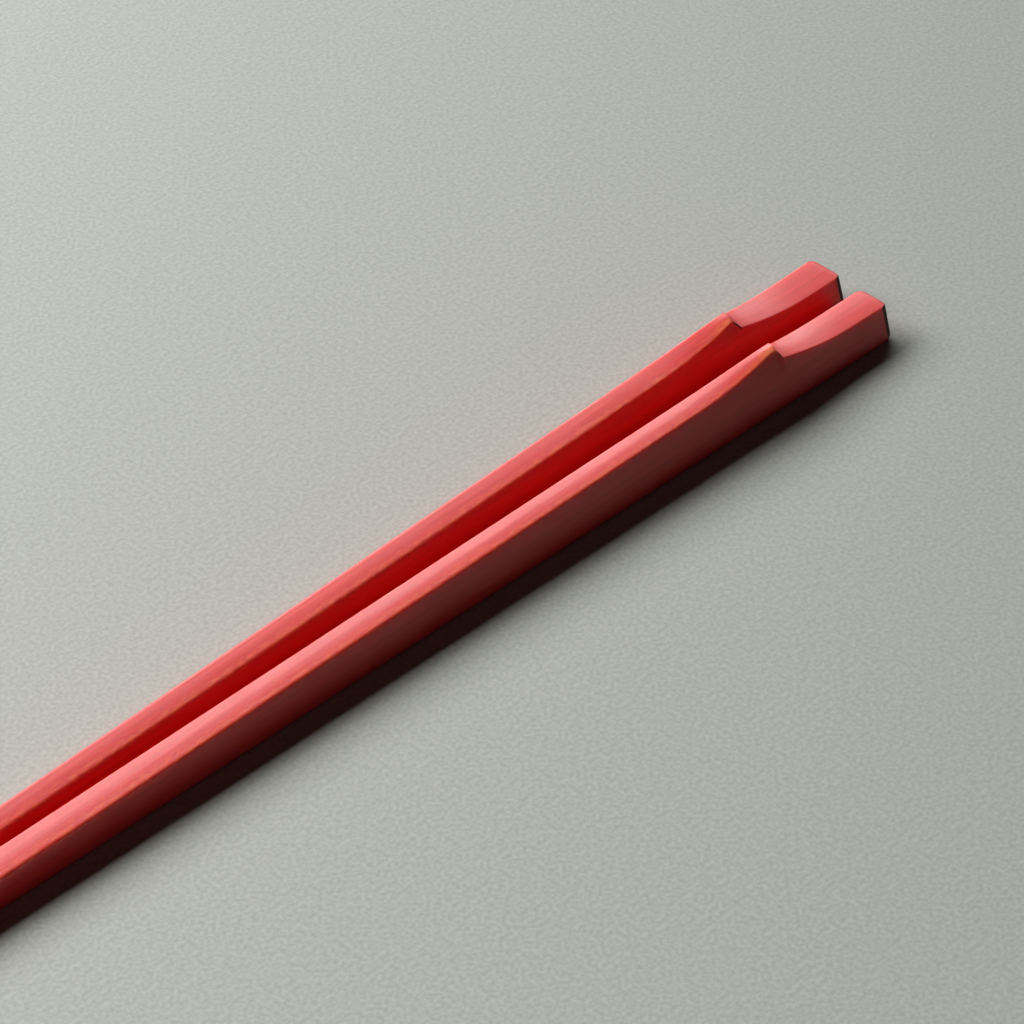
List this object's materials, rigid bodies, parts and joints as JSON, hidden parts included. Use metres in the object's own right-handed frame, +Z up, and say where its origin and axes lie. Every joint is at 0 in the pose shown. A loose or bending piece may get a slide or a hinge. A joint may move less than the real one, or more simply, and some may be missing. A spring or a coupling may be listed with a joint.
{
  "type": "pair of wooden chopsticks",
  "caption": "Slender tapered eating sticks of red-lacquered wood lying side by side, each with a flat base, a planed top flat and a carved, notched head.",
  "frame": {"origin": "middle of the pair's footprint, on the surface it lies on", "axes": "+X from the tips to the heads, +Y from the front stick to the rear one, +Z up"},
  "size_m": [0.2306, 0.0154, 0.007],
  "materials": {
    "red_lacquer": "satin"
  },
  "bodies": {
    "root": {"front_chopstick": "red_lacquer", "rear_chopstick": "red_lacquer"}
  },
  "joints": []
}
